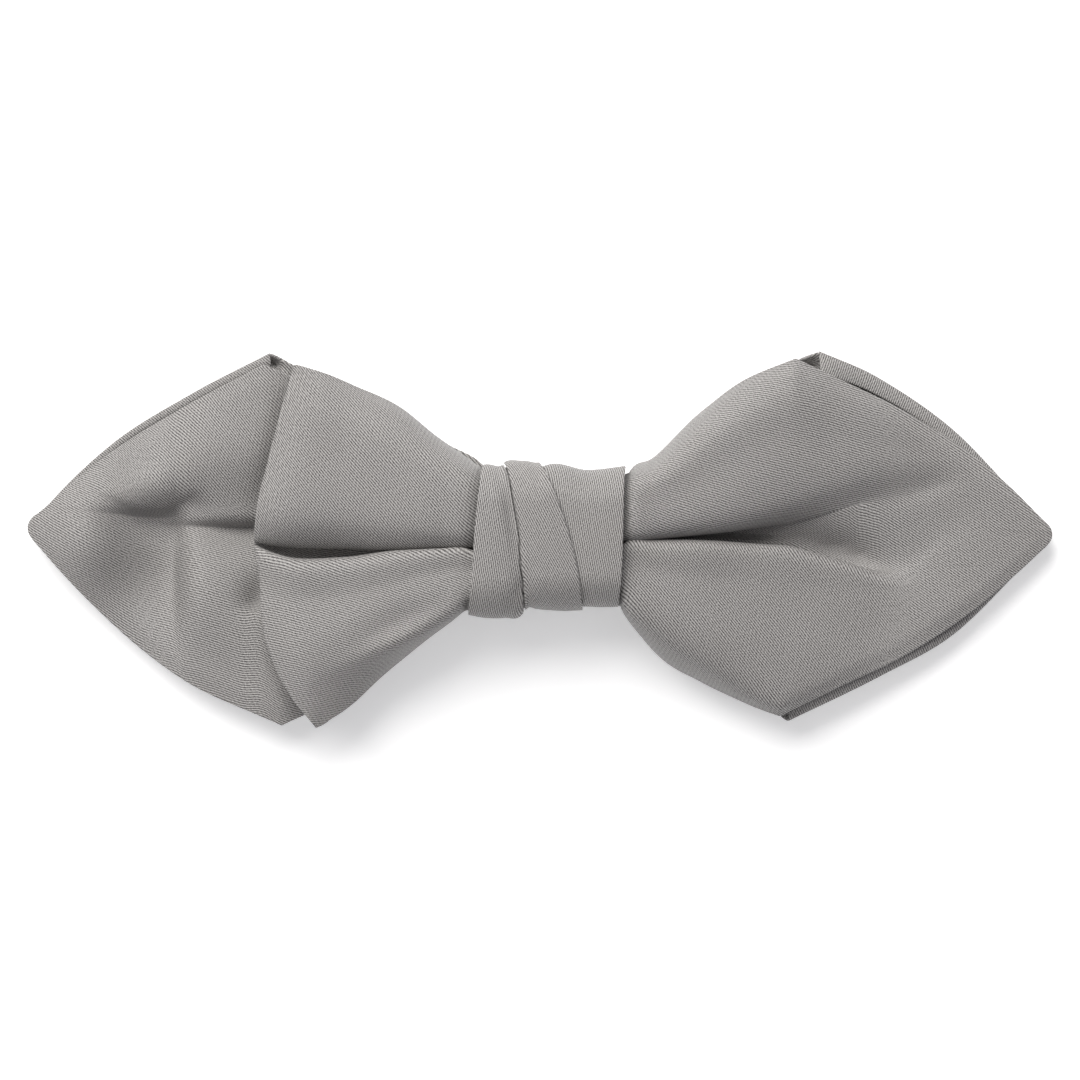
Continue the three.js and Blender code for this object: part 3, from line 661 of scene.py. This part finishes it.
def front_cloth(points, at, v):
    """The loop has one lay above the groove and the other below it, and the cloth turned under it
    goes on from its fold. On the right wing the second lay fills the groove's floor and the point."""
    v = v[None, :] + np.zeros(points.shape[:2])
    lip, low = (column_near(v[0], share) for share in LOOP_COLUMNS)
    x = points[..., 0].copy()
    turned_under = at < left_fold
    x[turned_under] = 2 * x[np.argmin(np.abs(at - left_fold))] - x[turned_under]
    upper = laid(x, level_across(points, lip, lip), LOOP_SLOPES[0])
    lower = laid(x, level_across(points, low, low), LOOP_SLOPES[2])
    loop = upper, lower, soft_step(*LOOP_CHANGE, v)
    x, y = points[..., 0], points[..., 1]
    floor = between(*RIGHT_FLOOR, v) * soft_step(*RIGHT_FLOOR_X, x)
    point = soft_step(*RIGHT_POINT_X, x + RIGHT_POINT_SLANT * np.abs(y))
    right = lays(points, v, RIGHT_SLOPES, np.maximum(floor, point))
    on_right = (x > 0) & (at > front.places[KNOT_LEFT_ROW])[:, None]
    chosen = (on_right[..., None], on_right[..., None], on_right)
    return tuple(np.where(*choice) for choice in zip(chosen, right, loop))


def left_cloth(points, at, v):
    """The second lay fills the groove's floor and the tip."""
    v = v[None, :] + np.zeros(points.shape[:2])
    x, y = points[..., 0], points[..., 1]
    tip = 1 - soft_step(*LEFT_TIP_X, x - LEFT_TIP_SLANT * np.abs(y))
    return lays(points, v, LEFT_SLOPES, np.maximum(between(*LEFT_FLOOR, v), tip))


def back_cloth(points, at, v):
    """One lay above the groove and one below it."""
    v = v[None, :] + np.zeros(points.shape[:2])
    x = points[..., 0]
    above, middle, below = BACK_SLOPES
    slopes = (np.where(x < 0, *above), middle, np.where(x < 0, *below))
    return lays(points, v, slopes, np.zeros(x.shape))


# Rims of the back strip: bands of its fold that lie on it along its edge 0 or 1, from a corner's row
# towards a point. Widths, and lifts of the inner side, are those at either end. The corner's end
# slants, and the twill's lines fall to the right by a slope.
RIMS = (
    {
        "name": "back_rim_right_top",
        "rows": (16, 20.3),
        "edge": 0,
        "widths": (2.45, 0.75),
        "lifts": (1.3, 0.3),
        "slant": 1.5,
        "slope": -70,
    },
    {
        "name": "back_rim_right_low",
        "rows": (16, 20.3),
        "edge": 1,
        "widths": (2.6, 0.8),
        "lifts": (0.9, 0.5),
        "slant": 1.2,
        "slope": 62,
    },
    {
        "name": "back_rim_left_top",
        "rows": (5, 1.3),
        "edge": 0,
        "widths": (1.75, 0.95),
        "lifts": (-0.3, -0.1),
        "slant": 0.6,
        "slope": 40,
    },
)
RIM_BODY = 0.5
RIM_STEP = 0.3
RIM_EDGE = 0.5  # with closer points, at a rim's ends
RIM_SHARES = (0.1, 0.3)  # step across, and what has closer points at either side
RIM_CLEAR = 0.45  # how far the outer side lies above the back strip's edge
RIM_HANG = 0.1  # how far the outer side lies beyond that edge
RIM_SWELL = 0.3
AHEAD = 0.2  # how far on a second point is taken, for the edge's direction


def rim_piece(name, rows, edge, widths, lifts, slant, slope):
    """A narrow folded band along one edge of the back strip."""
    ends = np.interp(rows, np.arange(len(back.places)), back.places)
    at = spread(min(ends), max(ends), RIM_STEP, RIM_EDGE)
    share = spread(0, 1, *RIM_SHARES)
    far = (np.abs(at - ends[0]) / abs(ends[1] - ends[0]))[:, None]
    begun = at[:, None] + np.sign(ends[1] - ends[0]) * slant * share * (1 - far)
    line = back.grid(begun.ravel(), np.array([edge, 0.5]))
    ahead = back.grid(begun.ravel() + AHEAD, np.array([edge]))[:, 0] - line[:, 0]
    inward = unit(np.stack([ahead[:, 1], -ahead[:, 0]], axis=1))
    side = np.sign((inward * (line[:, 1, :2] - line[:, 0, :2])).sum(axis=1, keepdims=True))
    inward = (inward * side).reshape(*begun.shape, 2)
    points = line[:, 0].reshape(*begun.shape, 3).copy()
    width = widths[0] + (widths[1] - widths[0]) * far
    lift = lifts[0] + (lifts[1] - lifts[0]) * far
    points[..., :2] += inward * (width * share - RIM_HANG)[..., None]
    points[..., 2] += RIM_CLEAR + lift * share + RIM_SWELL * np.sin(np.pi * share) * (1 - 0.5 * far)
    if edge == 1:
        points = points[:, ::-1]
    half = pressed_half(points, RIM_BODY)
    lay = laid(points[..., 0], points[..., 1], slope)
    return cloth_mesh(name, points, normals_of(points), half, (lay, lay, np.zeros(lay.shape[:2])))


# The knot's turns
CROWN = 0.5  # how far the knot's front swells in its middle
FRONT_FROM = 8  # height where the knot's front begins
FRONT_EASE = 6  # height over which the swell and the dents set in
TURN_BODY = 0.55
CORNER_POINTS = 22
RING_STEP = 0.3
TURN_WIDTH = 10  # about how wide a turn is
KNOT_TWILL = 1.08  # how much finer the knot's twill is
CREASE = 0.2  # between the left turn and the middle one
UNDERLAP = 0.9  # of the right turn under the left one, past the crease
BULGE_POWER = 0.6  # how full the turns' swelling is towards their edges
TOP_FROM = (-2, 2)  # Y over which the bottom's reach gives way to the top's
# The turns between two columns of KNOT_EDGES, from the left. The insets move their edges in, the
# distances are those of their middle surface from what the knot holds, at either edge, and puff is
# how much they swell in the middle. The twill's lines fall to the right by a slope.
TURNS = (
    {
        "name": "knot_left_turn",
        "edges": ("left", "first"),
        "insets": (0, CREASE / 2),
        "distances": (0.8, 0.85),
        "slope": 80,
        "puff": 0.15,
    },
    {
        "name": "knot_middle_turn",
        "edges": ("first", "second"),
        "insets": (CREASE / 2, 0),
        "distances": (1.05, 1.4),
        "slope": 63,
        "puff": 0.1,
    },
    {
        "name": "knot_right_turn",
        "edges": ("first", "right"),
        "insets": (-UNDERLAP, 0),
        "distances": (0.3, 0.8),
        "slope": 80,
        "puff": 0.1,
    },
)
# How far each turn's top and bottom reach, as shares of the knot's half height, at its edges
TURN_HEIGHTS = table(
    "x top bottom",
    [
        [-8.8, 1.045, 1.03],
        [-6.6, 1.03, 1.04],
        [-4.9, 1.0, 1.04],
        [-4.3, 1.04, 1.035],
        [-2.2, 1.015, 1.01],
        [-1.6, 1.01, 0.91],
        [-0.4, 0.995, 0.895],
        [1.2, 1.055, 0.895],
        [5.7, 0.952, 0.9],
        [8, 0.965, 0.905],
        [10.5, 1.025, 0.92],
    ],
)


def knot_ring(distance):
    """The knot's outline seen along the bow, at a distance out of what it holds: points of (y, z),
    the directions out of it and the places along it."""
    crest = FRONT["crestZ"][KNOT_ROW]
    low = CLIP_DEPTH + GAP + KNOT_WALL
    high = layer_height(3) + KNOT_LIFT + crest * PUFF + CLOTH / 2 + GAP
    half = KNOT_ROOM + GAP
    corners = [
        (half, high, KNOT_ROUND, 0),
        (-half, high, KNOT_ROUND, 90),
        (-half, low, KNOT_BACK_ROUND, 180),
        (half, low, KNOT_BACK_ROUND, 270),
    ]
    points, outs = [], []
    for y, z, radius, begin in corners:
        turns = np.radians(np.linspace(begin, begin + 90, CORNER_POINTS))
        out = np.stack([np.cos(turns), np.sin(turns)], axis=1)
        centre = np.array([y - np.sign(y) * radius, z + (-radius if z > low else radius)])
        points.append(centre + out * (radius + distance))
        outs.append(out)
    points, outs = np.concatenate(points), np.concatenate(outs)
    closed = np.concatenate([points, points[:1]])
    place = np.concatenate([[0], np.cumsum(np.linalg.norm(np.diff(closed, axis=0), axis=1))])
    at = np.arange(0, place[-1], RING_STEP)
    both = np.concatenate([closed, np.concatenate([outs, outs[:1]])], axis=1)
    found = np.stack([np.interp(at, place, column) for column in both.T], axis=1)
    return found[:, :2], unit(found[:, 2:]), at


KNOT_DENTS = table(
    DENT_COLUMNS,
    [
        [519, 594, 2.6, 2.6, 1.1, 1.1, 70, -0.6],
        [511, 520, 6.0, 6.0, 0.8, 0.8, 100, -0.3],
        [497, 500, 5.0, 5.0, 0.9, 0.9, 98, 0.12],
        [596, 476, 3.0, 3.0, 1.8, 1.8, 90, -0.15],
    ],
)


def knot_turn(name, edges, insets, distances, slope, puff):
    """One turn of the knot's band."""
    ring, out, at = knot_ring(distances[0])
    v = spread(0, 1, GRID_STEP / TURN_WIDTH, EDGE_ZONE / TURN_WIDTH)
    share_y = np.clip(ring[:, 0] / (KNOT_HEIGHT / 2), -1, 1)
    begin, end = (smooth(KNOT_EDGES["y"], KNOT_EDGES[edge], share_y) for edge in edges)
    begin, end = begin + insets[0], end - insets[1]
    x = begin[:, None] * (1 - v) + end[:, None] * v
    places = TURN_HEIGHTS["x"]
    flat_x = np.clip(x.ravel(), places[0], places[-1])
    tops = smooth(places, TURN_HEIGHTS["top"], flat_x).reshape(x.shape)
    bottoms = smooth(places, TURN_HEIGHTS["bottom"], flat_x).reshape(x.shape)
    side = soft_step(*TOP_FROM, ring[:, :1])
    y = ring[:, :1] * (bottoms + (tops - bottoms) * side)
    front_side = np.clip((ring[:, 1:] - FRONT_FROM) / FRONT_EASE, 0, 1)
    swell = CROWN * front_side * np.cos(share_y[:, None] * math.pi / 2)
    z = np.broadcast_to(ring[:, 1:], x.shape) + swell
    points = np.stack([x, y, z], axis=2)
    bulge = puff * np.sin(np.pi * v)[None, :] ** BULGE_POWER + (distances[1] - distances[0]) * v
    outward = np.zeros(points.shape)
    outward[..., 1:] = out[:, None]
    points = points + outward * bulge[..., None]
    upper = front_side * np.clip(out[:, 1:], 0, 1)
    points = points + (raised(points, KNOT_DENTS) - points) * upper[..., None]
    normals = normals_of(points, ring=True)
    lay = KNOT_TWILL * laid(x, -np.broadcast_to(at[:, None], x.shape), slope)
    half = pressed_half(points, TURN_BODY, ring=True)
    if (normals * outward).sum() < 0:
        normals = -normals
    return cloth_mesh(name, points, normals, half, (lay, lay, np.zeros(x.shape)), ring=True)


# Materials
FLOAT_LENGTH = 0.6  # of the twill's floats along a line
FLOAT_SHARE = 0.15  # of the twill's relief
FLOAT_STEP = 0.395  # how far the floats of one line are ahead of the next one's, as a share
LINE_WOBBLE = 0.6  # how unevenly the lines lie, as a share of their pitch
LINES = 0.95  # strength of the lines
SLUB = 1.6  # how much that strength changes
FUZZ = 1.3  # how rough the yarn is, as a share of the lines' relief
# Scales of the noises, for each metre of cloth
WOBBLE_SCALE = 500.0
SLUB_SCALE = 1900.0
FUZZ_SCALE = 6500.0
TONE_SCALE = 110.0
TONE = 0.2  # share of the warm yarn where it shows most
RELIEF = 0.06
RELIEF_STRENGTH = 0.8
ROUGHNESS = 0.58  # between the lines
LINE_GLOSS = 0.12  # how much smoother the lines' tops are
SPECULAR = 0.4
SHEEN = 0.1
SHEEN_ROUGHNESS = 0.4
# Linear colours
DARK_YARN = (0.03, 0.029, 0.03, 1)
LIGHT_YARN = (0.58, 0.565, 0.55, 1)
WARM_YARN = (0.33, 0.3, 0.27, 1)
DARK_STEEL = (0.5, 0.5, 0.51, 1)
LIGHT_STEEL = (0.72, 0.72, 0.73, 1)
SCRATCHES = (60, 9000, 9000)  # for each metre along and across the strip
SCRATCH_DEPTH = 0.02
SCRATCH_STRENGTH = 0.25
STEEL_ROUGHNESS = 0.24
SCRATCH_ROUGHNESS = 0.2  # how much rougher the scratches are
PALE = (0.93, 0.93, 0.93, 1)
PALER = (0.95, 0.95, 0.95, 1)
FLOOR_ROUGHNESS = 0.9
FLOOR_GLOW = 0.37


class Shader:
    """Adds nodes to a material in few words."""

    def __init__(self, name):
        self.material = bpy.data.materials.new(name)
        self.material.use_nodes = True
        self.tree = self.material.node_tree
        self.surface = self.tree.nodes["Principled BSDF"]

    def node(self, kind, **inputs):
        made = self.tree.nodes.new(f"ShaderNode{kind}")
        for key, value in inputs.items():
            self.put(made, key.replace("_", " "), value)
        return made

    def put(self, node, key, value):
        socket = node.inputs[key]
        if isinstance(value, bpy.types.NodeSocket):
            self.tree.links.new(value, socket)
        else:
            socket.default_value = value

    def wave(self, turns):
        """A cosine between 0 and 1."""
        angle = self.math("MULTIPLY", turns, 2 * math.pi)
        return self.math("ADD", self.math("MULTIPLY", self.math("COSINE", angle), 0.5), 0.5)

    def swing(self, noise, size):
        """A noise's value round 0."""
        return self.math("MULTIPLY", self.math("SUBTRACT", noise.outputs["Fac"], 0.5), size)

    def math(self, operation, *values):
        made = self.tree.nodes.new("ShaderNodeMath")
        made.operation = operation
        for i, value in enumerate(values):
            self.put(made, i, value)
        return made.outputs[0]

    def mix(self, share, first, second, kind="RGBA"):
        made = self.tree.nodes.new("ShaderNodeMix")
        made.data_type = kind
        for socket, value in zip(("Factor", "A", "B"), (share, first, second)):
            found = next(s for s in made.inputs if s.name == socket and s.enabled)
            if isinstance(value, bpy.types.NodeSocket):
                self.tree.links.new(value, found)
            else:
                found.default_value = value
        return next(s for s in made.outputs if s.enabled)


def twill_height(sh, map_name):
    """Height of one lay of the twill: slanting lines, each a row of short floats."""
    uv = sh.tree.nodes.new("ShaderNodeUVMap")
    uv.uv_map = map_name
    wobble = sh.node("TexNoise", Vector=uv.outputs[0], Scale=WOBBLE_SCALE, Detail=2.0)
    mapped = sh.node("Mapping", Vector=uv.outputs[0], Rotation=(0, 0, -TWILL_ANGLE))
    parts = sh.node("SeparateXYZ", Vector=mapped.outputs[0])
    across = sh.math("DIVIDE", parts.outputs["Y"], TWILL_PITCH * MM)
    line = sh.math("ADD", across, sh.swing(wobble, LINE_WOBBLE))
    along = sh.math("DIVIDE", parts.outputs["X"], FLOAT_LENGTH * MM)
    run = sh.math("ADD", along, sh.math("MULTIPLY", line, FLOAT_STEP))
    ridges = sh.math("MULTIPLY", sh.wave(line), 1 - FLOAT_SHARE)
    floats = sh.math("MULTIPLY", sh.wave(run), FLOAT_SHARE)
    return sh.math("ADD", ridges, floats), uv.outputs[0]


def twill_material(name):
    """Grey twill with a satin sheen, over slight changes of tone."""
    sh = Shader(name)
    first, _ = twill_height(sh, "lay_one")
    second, place = twill_height(sh, "lay_two")
    shown = sh.tree.nodes.new("ShaderNodeAttribute")
    shown.attribute_name = "second_lay"
    even = sh.mix(shown.outputs["Fac"], first, second, "FLOAT")
    slub = sh.node("TexNoise", Vector=place, Scale=SLUB_SCALE, Detail=2.0)
    fuzz = sh.node("TexNoise", Vector=place, Scale=FUZZ_SCALE, Detail=1.0)
    strength = sh.math("ADD", sh.swing(slub, SLUB), LINES)
    lines = sh.math("MULTIPLY", sh.math("SUBTRACT", even, 0.5), strength)
    height = sh.math("ADD", sh.math("ADD", lines, sh.swing(fuzz, FUZZ)), 0.5)
    tone = sh.node("TexNoise", Vector=place, Scale=TONE_SCALE, Detail=3.0)
    weave = sh.mix(height, DARK_YARN, LIGHT_YARN)
    colour = sh.mix(sh.math("MULTIPLY", tone.outputs["Fac"], TONE), weave, WARM_YARN)
    bump = sh.node("Bump", Height=height, Strength=RELIEF_STRENGTH, Distance=RELIEF * MM)
    sh.put(sh.surface, "Base Color", colour)
    sh.put(sh.surface, "Normal", bump.outputs[0])
    rough = sh.math("ADD", sh.math("MULTIPLY", height, -LINE_GLOSS), ROUGHNESS)
    sh.put(sh.surface, "Roughness", rough)
    sh.surface.inputs["Specular IOR Level"].default_value = SPECULAR
    sh.surface.inputs["Sheen Weight"].default_value = SHEEN
    sh.surface.inputs["Sheen Roughness"].default_value = SHEEN_ROUGHNESS
    return sh.material


def steel_material():
    """Brushed steel: fine scratches along the strip."""
    sh = Shader("clip_brushed_steel")
    where = sh.tree.nodes.new("ShaderNodeTexCoord")
    stretched = sh.node("Mapping", Vector=where.outputs["Object"], Scale=SCRATCHES)
    scratches = sh.node("TexNoise", Vector=stretched.outputs[0], Scale=1.0, Detail=4.0).outputs["Fac"]
    bump = sh.node("Bump", Height=scratches, Strength=SCRATCH_STRENGTH, Distance=SCRATCH_DEPTH * MM)
    sh.put(sh.surface, "Base Color", sh.mix(scratches, DARK_STEEL, LIGHT_STEEL))
    sh.put(sh.surface, "Normal", bump.outputs[0])
    rough = sh.math("ADD", sh.math("MULTIPLY", scratches, SCRATCH_ROUGHNESS), STEEL_ROUGHNESS)
    sh.put(sh.surface, "Roughness", rough)
    sh.surface.inputs["Metallic"].default_value = 1.0
    return sh.material


# Camera, floor and lights, in metres
CAMERA_HEIGHT = 4.0
SENSOR = 36.0
MIDDLE_HEIGHT = 0.006  # of the bow's front, where the frame fits the photo's
FLOOR_SIZE = 3.0
FLOOR_BELOW = 0.00002
# Wide sources: degrees from +Y towards -X, degrees up, degrees wide, strength and colour
KEY = (28, 50, 44, 3.0, (1.0, 0.985, 0.965))
OVERHEAD = (0, 80, 50, 0.45, (1.0, 1.0, 1.0))
STUDIO_COLOUR = (0.93, 0.92, 1.0, 1)
STUDIO_STRENGTH = 0.2


def make_camera():
    """Straight above the bow, far away with a long lens, so that its frame is the photo's."""
    data = bpy.data.cameras.new("camera")
    data.sensor_width = SENSOR
    data.lens = SENSOR * (CAMERA_HEIGHT - MIDDLE_HEIGHT) / (PICTURE * PIXEL * MM)
    data.clip_end = 5 * CAMERA_HEIGHT
    camera = bpy.data.objects.new("camera", data)
    camera.location = (0, 0, CAMERA_HEIGHT)
    bpy.context.collection.objects.link(camera)
    bpy.context.scene.camera = camera


def make_floor():
    bpy.ops.mesh.primitive_plane_add(size=FLOOR_SIZE, location=(0, 0, -FLOOR_BELOW))
    floor = bpy.context.object
    floor.name = "floor"
    sh = Shader("pale_floor")
    grain = sh.node("TexNoise", Scale=40.0)
    sh.put(sh.surface, "Base Color", sh.mix(grain.outputs["Fac"], PALE, PALER))
    sh.surface.inputs["Roughness"].default_value = FLOOR_ROUGHNESS
    sh.surface.inputs["Specular IOR Level"].default_value = 0.0
    sh.surface.inputs["Emission Color"].default_value = (1, 1, 1, 1)
    sh.surface.inputs["Emission Strength"].default_value = FLOOR_GLOW
    floor.data.materials.append(sh.material)


def soft_sun(name, azimuth, elevation, width, strength, colour):
    """Even light from a wide source."""
    data = bpy.data.lights.new(name, "SUN")
    data.angle = math.radians(width)
    data.energy = strength
    data.color = colour
    light = bpy.data.objects.new(name, data)
    light.rotation_euler = (math.radians(elevation - 90), 0, math.radians(azimuth))
    bpy.context.collection.objects.link(light)


def make_lights():
    soft_sun("key", *KEY)
    soft_sun("overhead", *OVERHEAD)
    world = bpy.data.worlds.new("studio")
    bpy.context.scene.world = world
    world.use_nodes = True
    background = world.node_tree.nodes["Background"]
    background.inputs["Color"].default_value = STUDIO_COLOUR
    background.inputs["Strength"].default_value = STUDIO_STRENGTH
    bpy.context.scene.view_settings.view_transform = "Standard"


def finish_piece(piece, material, node):
    """Gives a piece its material, hangs it under the root and hides the node that it stands for."""
    piece.data.materials.append(material)
    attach(piece, "root")
    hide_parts(node)


make_camera()
twill = twill_material("grey_twill")

# The pieces
pieces = [
    (strip_piece("front_strip", front, front_cloth, FRONT_DENTS, fold=left_fold), "front_bow"),
    (strip_piece("left_point_strip", left, left_cloth, LEFT_DENTS, rests=ON_BACK), "left_point"),
    (strip_piece("back_strip", back, back_cloth, BACK_DENTS, rests=ON_TABLE), "back_bow"),
]
pieces += [(knot_turn(**turn), "knot_wrap") for turn in TURNS]
pieces += [(rim_piece(**rim), "back_bow") for rim in RIMS]
for piece, node in pieces:
    finish_piece(piece, twill, node)

for material_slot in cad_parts["collar_clip"].material_slots:
    material_slot.material = steel_material()

make_floor()
make_lights()
